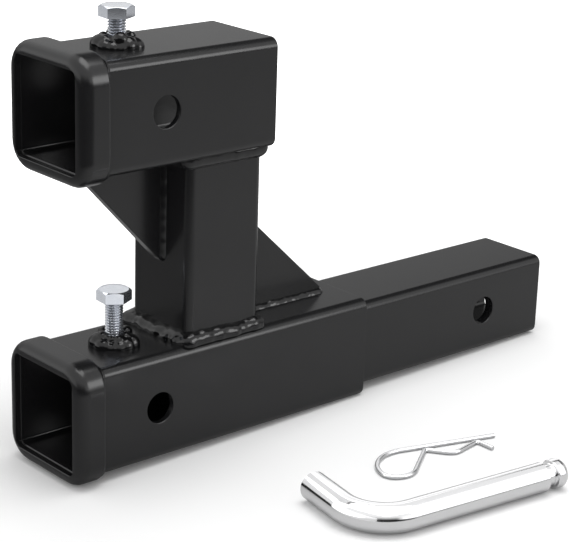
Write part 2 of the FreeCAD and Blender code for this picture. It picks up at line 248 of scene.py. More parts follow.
def rounded_square(half, corner):
    points = []
    for quarter, (a, b) in enumerate(((1, 1), (-1, 1), (-1, -1), (1, -1))):
        for step in range(CORNER_STEPS + 1):
            turn = math.pi / 2 * (quarter + step / CORNER_STEPS)
            points.append((
                a * (half - corner) + corner * math.cos(turn),
                b * (half - corner) + corner * math.sin(turn)))
    return points


def solid_mesh(name, points, faces):
    """A mesh from points in millimetres, its doubles merged and its faces turned outwards."""
    mesh = bpy.data.meshes.new(name)
    mesh.from_pydata([Vector(point) * MM for point in points], [], faces)
    shape = bmesh.new()
    shape.from_mesh(mesh)
    bmesh.ops.remove_doubles(shape, verts=shape.verts, dist=0.002 * MM)
    bmesh.ops.recalc_face_normals(shape, faces=shape.faces)
    shape.to_mesh(mesh)
    shape.free()
    return mesh


def square_loft(name, stations, place, capped=False):
    """A closed wall from stations (along, half width, corner), or a block with a cap on each end."""
    points = []
    for along, half, corner in stations:
        points.extend(place(along, a, b) for a, b in rounded_square(half, corner))
    rings = len(stations)
    faces = []
    if capped:
        faces = [tuple(range(RING)), tuple(range((rings - 1) * RING, rings * RING))]
    for i in range(rings - 1 if capped else rings):
        k = (i + 1) % rings
        for j in range(RING):
            n = (j + 1) % RING
            faces.append((i * RING + j, i * RING + n, k * RING + n, k * RING + j))
    return solid_mesh(name, points, faces)


def right_angle(steps):
    """The cosine and sine of each step through a right angle."""
    turns = [math.pi / 2 * i / steps for i in range(steps + 1)]
    return [(math.cos(a), math.sin(a)) for a in turns]


def quarter_round(along, half, corner, radius, steps=4, back=False):
    """Stations round an outer edge, from the front face to the side or from the side to the back."""
    made = []
    for c, s in right_angle(steps):
        out, over = (-s, c) if back else (c, s)
        inset = radius * (1 - over)
        made.append((along - radius * out, half - inset, corner - inset))
    return made


# %% [markdown]
# The holes are drilled before coating, so the film rounds their edges. A cutter turned on a lathe has
# that small flare on it, and one exact Boolean leaves hole and soft edge together.

# %% Turned cutters and Booleans


def turned(name, profile, place, segments=64):
    """A closed turned shape from (along, radius) pairs; place puts (along, a, b) into the frame."""
    points = []
    faces = []
    for along, radius in profile:
        for j in range(segments):
            t = 2 * math.pi * j / segments
            points.append(place(along, radius * math.cos(t), radius * math.sin(t)))
    for i in range(len(profile) - 1):
        for j in range(segments):
            n = (j + 1) % segments
            a, b = i * segments, (i + 1) * segments
            faces.append((a + j, a + n, b + n, b + j))
    faces.append(tuple(range(segments)))
    last = (len(profile) - 1) * segments
    faces.append(tuple(range(last, last + segments)))
    return solid_mesh(name, points, faces)


HOLE_EDGE = 0.5
CUTTER_SPARE = 1.2


def flared_profile(radius, surfaces):
    """A drill that leaves a rounded edge on each wall surface, given as (place, side of the metal)."""
    profile = []
    for at, metal in surfaces:
        edge = [(at - metal * CUTTER_SPARE, radius + HOLE_EDGE)]
        for c, s in right_angle(4):
            edge.append((at + metal * HOLE_EDGE * (1 - c), radius + HOLE_EDGE * (1 - s)))
        profile.extend(edge if metal > 0 else reversed(edge))
    return profile


def carve(made, cutter_mesh, operation="DIFFERENCE"):
    cutter = new_object("cutter", cutter_mesh)
    boolean = made.modifiers.new("cut", "BOOLEAN")
    boolean.operation = operation
    boolean.solver = "EXACT"
    boolean.object = cutter
    settle(made)
    bpy.data.objects.remove(cutter)
    return made


# %% [markdown]
# ## The two receiver tubes and the shank
# Each receiver takes a 50.8 mm shank, so its bore is 52.0 mm square. A pin hole goes through both side
# walls, and a hole in the roof lets the set bolt through.

# %% Sizes of the tubes
TUBE_HALF, TUBE_CORNER, TUBE_RIM = 29.7, 5.4, 0.5
BORE_HALF, BORE_CORNER = 26.0, 2.6
RISE = 161.0
UNDER, UPPER_TOP = RISE - TUBE_HALF, RISE + TUBE_HALF
LIP = 5.0
LOWER_X, LOWER_PIN_X, LOWER_BOLT_X = (-307.0, -103.2), -252.0, -261.0
UPPER_X, UPPER_PIN_X, UPPER_BOLT_X = (-304.0, -176.6), -249.5, -259.5
PIN_HOLE_RADIUS, BOLT_HOLE_RADIUS = 8.6, 5.0
ROOF_DRILL = [(BORE_HALF - 3, BOLT_HOLE_RADIUS), (TUBE_HALF + 3, BOLT_HOLE_RADIUS)]
print("lower tube", LOWER_X[1] - LOWER_X[0], "mm, upper tube", UPPER_X[1] - UPPER_X[0], "mm")

# %% The receiver tubes


def along_x(height):
    return lambda x, a, b: (x, a, b + height)


def receiver_tube(name, ends, height, pin_x, bolt_x):
    """The tube starts behind the collar's lip, which hides its front end."""
    x0, x1 = ends[0] + LIP, ends[1]
    outer = [(x0, TUBE_HALF, TUBE_CORNER)]
    outer += quarter_round(x1 - TUBE_RIM, TUBE_HALF, TUBE_CORNER, TUBE_RIM, back=True)
    inner = [(x1, BORE_HALF + TUBE_RIM, BORE_CORNER + TUBE_RIM),
             (x1 - 0.15 * TUBE_RIM, BORE_HALF + 0.3 * TUBE_RIM, BORE_CORNER),
             (x1 - TUBE_RIM, BORE_HALF, BORE_CORNER), (x0, BORE_HALF, BORE_CORNER)]
    made = new_object(name, square_loft(name, outer + inner, along_x(height)))
    surfaces = [(-TUBE_HALF, 1), (-BORE_HALF, -1), (BORE_HALF, 1), (TUBE_HALF, -1)]
    drill = turned("drill", flared_profile(PIN_HOLE_RADIUS, surfaces),
                   lambda y, a, b: (pin_x + a, y, height + b))
    carve(made, drill)
    roof = turned("drill", ROOF_DRILL, lambda z, a, b: (bolt_x + a, b, height + z), segments=32)
    return carve(made, roof)


lower_tube = receiver_tube("lower_tube_coated", LOWER_X, 0.0, LOWER_PIN_X, LOWER_BOLT_X)
upper_tube = receiver_tube("upper_tube_coated", UPPER_X, RISE, UPPER_PIN_X, UPPER_BOLT_X)
coat(lower_tube, "lower_receiver_tube")
coat(upper_tube, "upper_receiver_tube")

# %% The shank
SHANK_X, SHANK_RIM = (-152.0, 50.0), 0.8
SHANK_HALF, SHANK_CORNER = 25.4, 4.9
HOLLOW_HALF, HOLLOW_CORNER = 19.05, 2.0
SHANK_HOLE_RADIUS = 8.5


def make_shank():
    x0, x1 = SHANK_X
    outer = [(x0, SHANK_HALF, SHANK_CORNER)]
    outer += quarter_round(x1 - SHANK_RIM, SHANK_HALF, SHANK_CORNER, SHANK_RIM, back=True)
    inner = [(x1, HOLLOW_HALF + SHANK_RIM, HOLLOW_CORNER + SHANK_RIM),
             (x1 - 0.25 * SHANK_RIM, HOLLOW_HALF + 0.25 * SHANK_RIM, HOLLOW_CORNER),
             (x1 - SHANK_RIM, HOLLOW_HALF, HOLLOW_CORNER), (x0, HOLLOW_HALF, HOLLOW_CORNER)]
    made = new_object("shank_coated", square_loft("shank", outer + inner, along_x(0.0)))
    surfaces = [(-SHANK_HALF, 1), (-HOLLOW_HALF, -1), (HOLLOW_HALF, 1), (SHANK_HALF, -1)]
    drill = turned("drill", flared_profile(SHANK_HOLE_RADIUS, surfaces), lambda y, a, b: (a, y, b))
    return carve(made, drill)


coat(make_shank(), "shank")

# %% [markdown]
# ## Collars
# A thick collar is welded round each mouth to stiffen it. Its front is rolled over almost to the mouth,
# a round too large for a Bevel modifier to keep clean at the corners, so the block is lofted from many
# thin stations and a stepped plug is cut out of it. The tube ends a little way inside the plug's step,
# which shows as a second line along the mouth.

# %% The two collars
COLLAR_HALF, COLLAR_CORNER, COLLAR_LENGTH = 34.2, 15.5, 17.0
FRONT_ROUND, BACK_ROUND = 7.0, 1.8
MOUTH_HALF, MOUTH_CORNER, MOUTH_BREAK = 26.6, 3.2, 0.7
STEP_AT, STEP_BREAK = 3.6, 0.3


def collar(name, x0, height):
    x1 = x0 + COLLAR_LENGTH
    front = quarter_round(x0 + FRONT_ROUND, COLLAR_HALF, COLLAR_CORNER, FRONT_ROUND, steps=10)
    back = quarter_round(x1 - BACK_ROUND, COLLAR_HALF, COLLAR_CORNER, BACK_ROUND, steps=8, back=True)
    made = new_object(name, square_loft(name, front + back, along_x(height), capped=True))
    plug = [(x0 - 1, MOUTH_HALF + MOUTH_BREAK, MOUTH_CORNER + MOUTH_BREAK)]
    for c, s in right_angle(4):
        inset = MOUTH_BREAK * (1 - s)
        plug.append((x0 + MOUTH_BREAK * (1 - c), MOUTH_HALF + inset, MOUTH_CORNER + inset))
    plug += [(x0 + STEP_AT, MOUTH_HALF, MOUTH_CORNER), (x0 + STEP_AT + STEP_BREAK, BORE_HALF, BORE_CORNER),
             (x0 + LIP, BORE_HALF, BORE_CORNER), (x0 + LIP, TUBE_HALF, TUBE_CORNER),
             (x1 + 1, TUBE_HALF, TUBE_CORNER)]
    return carve(made, square_loft("plug", plug, along_x(height), capped=True))


coat(collar("lower_collar_coated", LOWER_X[0], 0.0), "lower_collar")
coat(collar("upper_collar_coated", UPPER_X[0], RISE), "upper_collar")

# %% [markdown]
# ## Post and gussets
# The post is a shorter square tube that stands on end between the receivers, so the same loft makes it.
# A plate gusset is flame cut and stands in each inner corner. Coated plate has no sharp edge left, and
# on a flat shape a Bevel modifier is enough, so a small one runs round it.

# %% The post
POST_X, POST_HALF, POST_CORNER = -206.0, 25.0, 4.6
POST_WALL, POST_HOLLOW_CORNER = 5.0, 2.0
POST_FRONT, POST_REAR = POST_X - POST_HALF, POST_X + POST_HALF


def upright_post():
    hollow = POST_HALF - POST_WALL
    stations = [(TUBE_HALF, POST_HALF, POST_CORNER), (UNDER, POST_HALF, POST_CORNER),
                (UNDER, hollow, POST_HOLLOW_CORNER), (TUBE_HALF, hollow, POST_HOLLOW_CORNER)]
    return new_object("post_coated", square_loft("post", stations, lambda z, a, b: (POST_X + a, b, z)))


coat(upright_post(), "post")

# %% The gussets
GUSSET_HALF, GUSSET_TOE, GUSSET_EDGE = 3.2, 3.6, 0.6
FRONT_TIP_X, FRONT_DROP, FRONT_LIP = UPPER_X[0] + COLLAR_LENGTH + 2.0, 58.0, 4.0
REAR_TIP_X, REAR_HEIGHT = POST_REAR + 64.5, 60.4


def prism(name, base, top):
    """A solid between two outlines of equally many points."""
    count = len(base)
    faces = [tuple(range(count)), tuple(range(count, 2 * count))]
    faces += [(i, (i + 1) % count, count + (i + 1) % count, count + i) for i in range(count)]
    return new_object(name, solid_mesh(name, base + top, faces))


def soften(made, width_mm, segments=2):
    bevel = made.modifiers.new("edge", "BEVEL")
    bevel.width = width_mm * MM
    bevel.segments = segments
    bevel.angle_limit = math.radians(25)
    return settle(made)


def gusset(name, outline):
    near, far = [[(x, side * GUSSET_HALF, z) for x, z in outline] for side in (-1, 1)]
    return soften(prism(name, near, far), GUSSET_EDGE, segments=3)


front_gusset = gusset("front_gusset_coated", [
    (POST_FRONT, UNDER), (FRONT_TIP_X, UNDER), (FRONT_TIP_X, UNDER - FRONT_LIP),
    (POST_FRONT - GUSSET_TOE, UNDER - FRONT_DROP), (POST_FRONT, UNDER - FRONT_DROP)])
rear_gusset = gusset("rear_gusset_coated", [
    (POST_REAR, TUBE_HALF), (REAR_TIP_X, TUBE_HALF), (REAR_TIP_X, TUBE_HALF + GUSSET_TOE),
    (POST_REAR + GUSSET_TOE, TUBE_HALF + REAR_HEIGHT), (POST_REAR, TUBE_HALF + REAR_HEIGHT)])
coat(front_gusset, "front_gusset")
coat(rear_gusset, "rear_gusset")

# %% [markdown]
# ## Weld beads
# A weld is a row of puddles that froze one on the next. A bevelled curve would show a plain rope, so
# Geometry Nodes puts a point at each puddle along the seam, moves it and changes its size a little from
# a fixed seed, melts all the points into one skin through a volume, and presses the underside flat where
# it meets the plate. The radius of the bead is an attribute of the seam's own points.

# %% Helpers for trees


def new_tree(name, sizes):
    """A tree with an input of the right kind for each named size."""
    tree = bpy.data.node_groups.new(name, "GeometryNodeTree")
    tree.interface.new_socket("Geometry", in_out="INPUT", socket_type="NodeSocketGeometry")
    tree.interface.new_socket("Geometry", in_out="OUTPUT", socket_type="NodeSocketGeometry")
    for label, value in sizes.items():
        kind = "NodeSocketInt" if isinstance(value, int) else "NodeSocketFloat"
        tree.interface.new_socket(label, in_out="INPUT", socket_type=kind).default_value = value
    return tree, add(tree, "NodeGroupInput").outputs


def dress(made, tree, values):
    """Runs a tree on an object with named inputs and leaves a plain mesh."""
    modifier = made.modifiers.new(tree.name, "NODES")
    modifier.node_group = tree
    for item in tree.interface.items_tree:
        if item.in_out == "INPUT" and item.name in values:
            modifier[item.identifier] = values[item.name]
    return settle(made)


def close_tree(tree, geometry, material):
    smooth = add(tree, "GeometryNodeSetShadeSmooth", {"Geometry": geometry})
    real = add(tree, "GeometryNodeRealizeInstances", {"Geometry": smooth.outputs[0]})
    last = add(tree, "GeometryNodeSetMaterial", {"Geometry": real.outputs[0], "Material": material})
    add(tree, "NodeGroupOutput", {"Geometry": last.outputs[0]})


# %% The weld tree


def puddles_along(tree, given):
    """A point at each puddle, moved a little, and its radius, changed a little."""
    seam = add(tree, "GeometryNodeMeshToCurve", {"Mesh": given["Geometry"]})
    puddles = add(tree, "GeometryNodeCurveToPoints", {
        "Curve": seam.outputs[0], "Length": given["Ripple step"]}, mode="LENGTH")
    shift = add(tree, "FunctionNodeRandomValue", {
        "Min": (-1.0, -1.0, -1.0), "Max": (1.0, 1.0, 1.0), "Seed": given["Seed"]}, data_type="FLOAT_VECTOR")
    shift = add(tree, "ShaderNodeVectorMath", {
        0: shift.outputs["Value"], "Scale": given["Wander"]}, operation="SCALE")
    puddles = add(tree, "GeometryNodeSetPosition", {
        "Geometry": puddles.outputs["Points"], "Offset": shift.outputs[0]})
    radius = add(tree, "GeometryNodeInputNamedAttribute", {"Name": "bead_radius"}, data_type="FLOAT")
    luck = add(tree, "FunctionNodeRandomValue", {2: -1.0, 3: 1.0, "Seed": given["Seed"]}, data_type="FLOAT")
    swell = add(tree, "ShaderNodeMath", {
        0: luck.outputs[1], 1: given["Swell"], 2: 1.0}, operation="MULTIPLY_ADD")
    radius = add(tree, "ShaderNodeMath", {
        0: radius.outputs["Attribute"], 1: swell.outputs[0]}, operation="MULTIPLY")
    return puddles.outputs[0], radius.outputs[0]


def melted(tree, given, puddles, radius):
    """One skin round all the puddles, smoothed, with a grain of about 6 mm along its normals."""
    melt = add(tree, "GeometryNodePointsToVolume", {
        "Points": puddles, "Voxel Size": given["Voxel"], "Radius": radius}, resolution_mode="VOXEL_SIZE")
    skin = add(tree, "GeometryNodeVolumeToMesh", {"Volume": melt.outputs[0]})
    smooth = add(tree, "GeometryNodeBlurAttribute", {
        "Value": add(tree, "GeometryNodeInputPosition").outputs[0], "Iterations": given["Soften"]},
        data_type="FLOAT_VECTOR")
    skin = add(tree, "GeometryNodeSetPosition", {
        "Geometry": skin.outputs[0], "Position": smooth.outputs[0]})
    grain = add(tree, "ShaderNodeTexNoise", {"Scale": 170.0, "Detail": 1.0})
    grain = add(tree, "ShaderNodeMath", {0: grain.outputs["Fac"], 1: 0.5}, operation="SUBTRACT")
    grain = add(tree, "ShaderNodeMath", {0: grain.outputs[0], 1: given["Grain"]}, operation="MULTIPLY")
    normal = add(tree, "GeometryNodeInputNormal")
    grain = add(tree, "ShaderNodeVectorMath", {
        0: normal.outputs[0], "Scale": grain.outputs[0]}, operation="SCALE")
    skin = add(tree, "GeometryNodeSetPosition", {"Geometry": skin.outputs[0], "Offset": grain.outputs[0]})
    return skin.outputs[0]


def pressed(tree, given, skin):
    """The skin laid flat where it would go through the plate; the side says which way is out."""
    place = add(tree, "ShaderNodeSeparateXYZ", {0: add(tree, "GeometryNodeInputPosition").outputs[0]})
    above = add(tree, "ShaderNodeMath", {
        0: place.outputs["Z"], 1: given["Plate height"]}, operation="SUBTRACT")
    above = add(tree, "ShaderNodeMath", {0: above.outputs[0], 1: given["Plate side"]}, operation="MULTIPLY")
    above = add(tree, "ShaderNodeMath", {0: above.outputs[0], 1: 0.0}, operation="MAXIMUM")
    height = add(tree, "ShaderNodeMath", {
        0: above.outputs[0], 1: given["Plate side"], 2: given["Plate height"]}, operation="MULTIPLY_ADD")
    flat = add(tree, "ShaderNodeCombineXYZ", {
        "X": place.outputs["X"], "Y": place.outputs["Y"], "Z": height.outputs[0]})
    return add(tree, "GeometryNodeSetPosition", {"Geometry": skin, "Position": flat.outputs[0]}).outputs[0]


def weld_tree():
    tree, given = new_tree("weld_bead", {
        "Ripple step": 0.003, "Wander": 0.0003, "Swell": 0.1, "Grain": 0.0001, "Voxel": 0.0005,
        "Plate height": 0.0, "Plate side": 1.0, "Soften": 4, "Seed": 0})
    skin = melted(tree, given, *puddles_along(tree, given))
    close_tree(tree, pressed(tree, given, skin), weld_coat)
    return tree


bead_tree = weld_tree()
print("weld tree", len(bead_tree.nodes), "nodes")

# %% Seams as polylines with a bead radius at each point


def seams(name, lines):
    """Each line is a list of (x, y, z, radius) in millimetres."""
    verts = []
    edges = []
    radii = []
    for line in lines:
        first = len(verts)
        for x, y, z, r in line:
            verts.append(Vector((x, y, z)) * MM)
            radii.append(r * MM)
        edges += [(first + i, first + i + 1) for i in range(len(line) - 1)]
    mesh = bpy.data.meshes.new(name)
    mesh.from_pydata(verts, edges, [])
    mesh.attributes.new("bead_radius", "FLOAT", "POINT").data.foreach_set("value", radii)
    return new_object(name, mesh)


def weld(name, lines, node, **values):
    made = dress(seams(name, lines), bead_tree, values)
    finish_piece(made, weld_coat, "weldment", "coated_weld", node, crease=60.0)


# %% [markdown]
# The bead at the post's foot is the largest. The welder went round it by hand, so it piles up in a
# second row along the front edge. The head's bead laps over the tube's round corner, and the gussets'
# beads have their middle inside the plates, so that only a shallow fillet of each shows.

# %% Post and gusset welds
FOOT_INSET, FOOT_RADII = 0.8, [5.2, 5.0, 4.7, 5.0, 5.2]
HEAD_INSET_X, HEAD_INSET_Y, HEAD_RADII = 1.9, 3.3, [6.0, 6.3, 6.3, 6.0, 6.0]
HEAD_LAP = 2.2
FILLET_RADIUS, FILLET_Y, FILLET_INSET = 4.4, 1.6, 1.4
SUNK = 0.5


def post_ring(z, radii, inset_x, inset_y):
    x0, x1, y = POST_FRONT + inset_x, POST_REAR - inset_x, POST_HALF - inset_y
    corners = [(x0, -y), (x1, -y), (x1, y), (x0, y), (x0, -y)]
    return [(x, yy, z, r) for (x, yy), r in zip(corners, radii)]


def gusset_seams(corner_x, corner_z, end_x, end_z):
    made = []
    for y in (-FILLET_Y, FILLET_Y):
        made.append([(end_x, y, corner_z, FILLET_RADIUS), (corner_x, y, corner_z, FILLET_RADIUS),
                     (corner_x, y, end_z, FILLET_RADIUS)])
    return made


foot_z = TUBE_HALF + 1.0
foot = [post_ring(foot_z, FOOT_RADII, FOOT_INSET, FOOT_INSET),
        [(POST_FRONT - 1.2, -22.0, foot_z - 0.8, 4.6), (POST_FRONT - 2.0, 8.0, foot_z - 0.6, 5.2),
         (POST_FRONT - 1.6, 24.0, foot_z - 0.4, 5.2)]]
head = [post_ring(UNDER, HEAD_RADII, HEAD_INSET_X, HEAD_INSET_Y)]
front_seams = gusset_seams(POST_FRONT + FILLET_INSET, UNDER + FILLET_INSET, FRONT_TIP_X + 3.5,
                           UNDER - FRONT_DROP + 1.0)
rear_seams = gusset_seams(POST_REAR - FILLET_INSET, TUBE_HALF - FILLET_INSET, REAR_TIP_X - 1.5,
                          TUBE_HALF + REAR_HEIGHT - 2.0)
FINE_BEAD = {"Wander": 0.0, "Swell": 0.02}
weld("foot_bead", foot, "post_foot_weld", **{
    "Ripple step": 0.003, "Wander": 0.0006, "Swell": 0.07, "Grain": 0.0008, "Soften": 18,
    "Plate height": (TUBE_HALF - SUNK) * MM, "Seed": 3})
weld("head_bead", head, "post_head_weld", **FINE_BEAD, **{
    "Ripple step": 0.002, "Grain": 0.0005, "Soften": 12,
    "Plate height": (UNDER + HEAD_LAP) * MM, "Plate side": -1.0, "Seed": 5})
weld("front_gusset_bead", front_seams, "front_gusset_weld", **FINE_BEAD, **{
    "Ripple step": 0.0015, "Grain": 0.0001, "Soften": 16,
    "Plate height": (UNDER + SUNK) * MM, "Plate side": -1.0, "Seed": 8})
weld("rear_gusset_bead", rear_seams, "rear_gusset_weld", **FINE_BEAD, **{
    "Ripple step": 0.0015, "Grain": 0.0009, "Soften": 9,
    "Plate height": (TUBE_HALF - SUNK) * MM, "Seed": 11})

# %% [markdown]
# ## Weld nuts
# A hexagon nut is tacked over the hole in each roof with a thick, blobby bead that runs right round its
# foot. The nut is a hexagon prism cut to a cone at its top corners, as a real one is turned. Its bead is
# made by the weld tree from two rings of uneven radius.

# %% Hexagon blocks


def hexagon_block(name, flats, x, z, height, turn_degrees, spread, edge, rings=()):
    """A hexagon prism whose top is turned to a cone, with shallow rings given as (radius, depth)."""
    corner = flats / math.sqrt(3)
    turns = [math.radians(turn_degrees + 30 + 60 * i) for i in range(6)]
    base, top = [[(x + corner * math.cos(a), corner * math.sin(a), level) for a in turns]
                 for level in (z, z + height)]
    profile = [(z - 1, flats / 2 + spread), (z, flats / 2 + spread), (z + height, flats / 2 - edge)]
    profile += [(z + height - depth, radius) for radius, depth in rings]
    cone = turned("cone", profile, lambda along, a, b: (x + a, b, along), segments=96)
    return carve(prism(name, base, top), cone, "INTERSECT")


# %% The nuts
NUT_FLATS, NUT_HEIGHT, NUT_SPREAD, NUT_EDGE, NUT_BREAK = 16.6, 5.8, 4.7, 0.3, 0.25


def weld_nut(name, x, seat_z, turn_degrees, node):
    made = hexagon_block(name, NUT_FLATS, x, seat_z, NUT_HEIGHT, turn_degrees, NUT_SPREAD, NUT_EDGE)
    hole = turned("hole", [(seat_z - 2, BOLT_HOLE_RADIUS), (seat_z + 9, BOLT_HOLE_RADIUS)],
                  lambda along, a, b: (x + a, b, along), segments=48)
    coat(soften(carve(made, hole), NUT_BREAK), node)


weld_nut("lower_nut_coated", LOWER_BOLT_X, TUBE_HALF, 20.0, "lower_weld_nut")
weld_nut("upper_nut_coated", UPPER_BOLT_X, UPPER_TOP, 35.0, "upper_weld_nut")

# %% Welds round the nuts
# Each row gives its reach from the bolt, lift, bead radius, how far that sways, and the swells in a turn.
SKIRT, LAP = (8.8, 0.4, 4.8, 0.8, 3), (7.0, 4.1, 2.9, 1.0, 4)
NUT_BEAD = {"Ripple step": 0.0042, "Wander": 0.0006, "Swell": 0.07, "Grain": 0.0004, "Voxel": 0.0004,
            "Soften": 10}


def nut_weld(name, x, seat_z, turn_degrees, seed, node):
    rings = []
    for reach, lift, radius, sway, swells in (SKIRT, LAP):
        ring = []
        for i in range(37):
            a = math.radians(10 * i)
            uneven = math.sin(swells * (a - math.radians(turn_degrees)))
            ring.append((x + reach * math.cos(a), reach * math.sin(a), seat_z + lift + 0.4 * sway * uneven,
                         radius + sway * uneven))
        rings.append(ring)
    weld(name, rings, node, **NUT_BEAD, **{"Plate height": (seat_z - 0.4) * MM, "Seed": seed})


nut_weld("lower_nut_bead", LOWER_BOLT_X, TUBE_HALF, 255.0, 21, "lower_nut_weld")
nut_weld("upper_nut_bead", UPPER_BOLT_X, UPPER_TOP, 140.0, 33, "upper_nut_weld")

# %% [markdown]
# ## Set bolts
# A set bolt is threaded along its whole length. The thread is one groove that climbs by a pitch for
# each turn. A Screw modifier could sweep it, but its ends would need cutting, so a Geometry Nodes tree
# takes a plain cylinder with many rings and moves each point out or in by where it lies on that helix.
# The groove is drawn a little deeper than an M10 thread has it, so that the turns still show at the size
# of the picture. The head's turned face has rings 0.1 mm deep.

# %% The thread tree
ROOT_END, CREST_START = 0.06, 0.44


def thread_tree():
    tree, given = new_tree("thread", {
        "Crest radius": 0.0049, "Root radius": 0.0039, "Pitch": 0.0015, "Length": 0.025,
        "Tip radius": 0.0035, "X": 0.0, "Tip height": 0.0})
    rod = add(tree, "GeometryNodeMeshCylinder", {
        "Vertices": 64, "Side Segments": 220, "Fill Segments": 1, "Radius": 1.0, "Depth": given["Length"]})
    here = add(tree, "ShaderNodeSeparateXYZ", {0: add(tree, "GeometryNodeInputPosition").outputs[0]})
    up = add(tree, "ShaderNodeMath", {
        0: given["Length"], 1: 0.5, 2: here.outputs["Z"]}, operation="MULTIPLY_ADD")
    angle = add(tree, "ShaderNodeMath", {0: here.outputs["Y"], 1: here.outputs["X"]}, operation="ARCTAN2")
    part = add(tree, "ShaderNodeMath", {0: angle.outputs[0], 1: 2 * math.pi}, operation="DIVIDE")
    turns = add(tree, "ShaderNodeMath", {0: up.outputs[0], 1: given["Pitch"]}, operation="DIVIDE")
    turns = add(tree, "ShaderNodeMath", {0: turns.outputs[0], 1: part.outputs[0]}, operation="SUBTRACT")
    wave = add(tree, "ShaderNodeMath", {0: turns.outputs[0], 1: 0.5}, operation="PINGPONG")
    radius = add(tree, "ShaderNodeMapRange", {0: wave.outputs[0], 1: ROOT_END, 2: CREST_START,
                                              3: given["Root radius"], 4: given["Crest radius"]})
    tip = add(tree, "ShaderNodeMath", {0: up.outputs[0], 1: given["Tip radius"]}, operation="ADD")
    radius = add(tree, "ShaderNodeMath", {0: radius.outputs[0], 1: tip.outputs[0]}, operation="MINIMUM")
    flat = add(tree, "ShaderNodeCombineXYZ", {"X": here.outputs["X"], "Y": here.outputs["Y"]})
    flat = add(tree, "ShaderNodeVectorMath", {0: flat.outputs[0]}, operation="NORMALIZE")
    lift = add(tree, "ShaderNodeMath", {0: up.outputs[0], 1: given["Tip height"]}, operation="ADD")
    lift = add(tree, "ShaderNodeCombineXYZ", {"X": given["X"], "Z": lift.outputs[0]})
    spot = add(tree, "ShaderNodeVectorMath", {
        0: flat.outputs[0], 1: radius.outputs[0], 2: lift.outputs[0]}, operation="MULTIPLY_ADD")
    made = add(tree, "GeometryNodeSetPosition", {
        "Geometry": rod.outputs["Mesh"], "Position": spot.outputs[0]})
    close_tree(tree, made.outputs[0], zinc)
    return tree


bolt_tree = thread_tree()
print("thread tree", len(bolt_tree.nodes), "nodes")

# %% The bolts
SHAFT_LENGTH, SHAFT_INTO_HEAD = 25.0, 0.3
HEAD_FLATS, HEAD_HEIGHT, HEAD_SPREAD, HEAD_EDGE, HEAD_BREAK = 16.5, 6.1, 10.8, 0.3, 0.18
LOWER_TIP_Z, UPPER_TIP_Z = 29.4, 180.9
HEAD_RINGS = [(7.3, 0.02), (6.8, 0.12), (6.0, 0.05), (5.2, 0.14), (4.2, 0.06), (3.0, 0.14), (1.6, 0.08)]


def set_bolt(name, body, x, tip_z, turn_degrees, node):
    head = hexagon_block(name, HEAD_FLATS, x, tip_z + SHAFT_LENGTH, HEAD_HEIGHT, turn_degrees,
                         HEAD_SPREAD, HEAD_EDGE, HEAD_RINGS)
    soften(head, HEAD_BREAK)
    stem = new_object("stem", bpy.data.meshes.new("stem"))
    dress(stem, bolt_tree, {
        "X": x * MM, "Tip height": tip_z * MM, "Length": (SHAFT_LENGTH + SHAFT_INTO_HEAD) * MM})
    shape = bmesh.new()
    shape.from_mesh(head.data)
    shape.from_mesh(stem.data)
    shape.to_mesh(head.data)
    shape.free()
    bpy.data.objects.remove(stem)
    finish_piece(head, zinc, body, "zinc_plate", node, crease=35.0)


set_bolt("lower_bolt_zinc", "lower_bolt", LOWER_BOLT_X, LOWER_TIP_Z, 56.0, "lower_set_bolt")
set_bolt("upper_bolt_zinc", "upper_bolt", UPPER_BOLT_X, UPPER_TIP_Z, 55.0, "upper_set_bolt")

# %% [markdown]
# ## Pin and spring clip
# Both are round bar bent along a line. A bevelled curve could do it, but the pin has a groove and a
# rounded head, so one tree sweeps a circle along a path whose points carry their own radius. Straight
# runs and arcs come from corner points and bend radii, as a bender is set up.

# %% The resting plane and bent paths
FLOOR_SLOPE, FLOOR_TOUCH_X = 0.0235603, -294.2


def floor_height(x):
    """The resting plane, which touches the lower collar's edge and the lower tube's rear edge."""
    return -COLLAR_HALF + FLOOR_SLOPE * (x - FLOOR_TOUCH_X)


def bent_path(corners, bends, step_degrees):
    path = [corners[0]]
    for i, bend in enumerate(bends):
        at = corners[i + 1]
        back, ahead = (corners[i] - at).normalized(), (corners[i + 2] - at).normalized()
        half = back.angle(ahead) / 2
        middle = at + (back + ahead).normalized() * (bend / math.sin(half))
        start, end = at + back * (bend / math.tan(half)), at + ahead * (bend / math.tan(half))
        sweep = math.pi - 2 * half
        steps = max(4, round(math.degrees(sweep) / step_degrees))
        a, b = start - middle, end - middle
        for k in range(steps + 1):
            t = k / steps
            arm = (a * math.sin((1 - t) * sweep) + b * math.sin(t * sweep)) / math.sin(sweep)
            path.append(middle + arm)
    path.append(corners[-1])
    return path


def measured(path):
    lengths = [0.0]
    for a, b in zip(path, path[1:]):
        lengths.append(lengths[-1] + (b - a).length)
    return lengths


def rod_path(name, path, turned_profile):
    """A polyline whose points carry bar_radius, with points of its own at each change of radius."""
    lengths = measured(path)
    marks = sorted(set(round(v, 4) for v in lengths) | set(round(d, 4) for d, r in turned_profile))
    verts = []
    radii = []
    for mark in marks:
        k = max(i for i, v in enumerate(lengths) if v <= mark + 1e-4)
        k = min(k, len(path) - 2)
        t = (mark - lengths[k]) / (lengths[k + 1] - lengths[k])
        verts.append(path[k].lerp(path[k + 1], t) * MM)
        j = max((i for i, (d, r) in enumerate(turned_profile) if d <= mark + 1e-4), default=0)
        j = min(j, len(turned_profile) - 2)
        (d0, r0), (d1, r1) = turned_profile[j], turned_profile[j + 1]
        radii.append((r0 + (r1 - r0) * (mark - d0) / (d1 - d0)) * MM)
    mesh = bpy.data.meshes.new(name)
    mesh.from_pydata(verts, [(i, i + 1) for i in range(len(verts) - 1)], [])
    mesh.attributes.new("bar_radius", "FLOAT", "POINT").data.foreach_set("value", radii)
    return new_object(name, mesh)


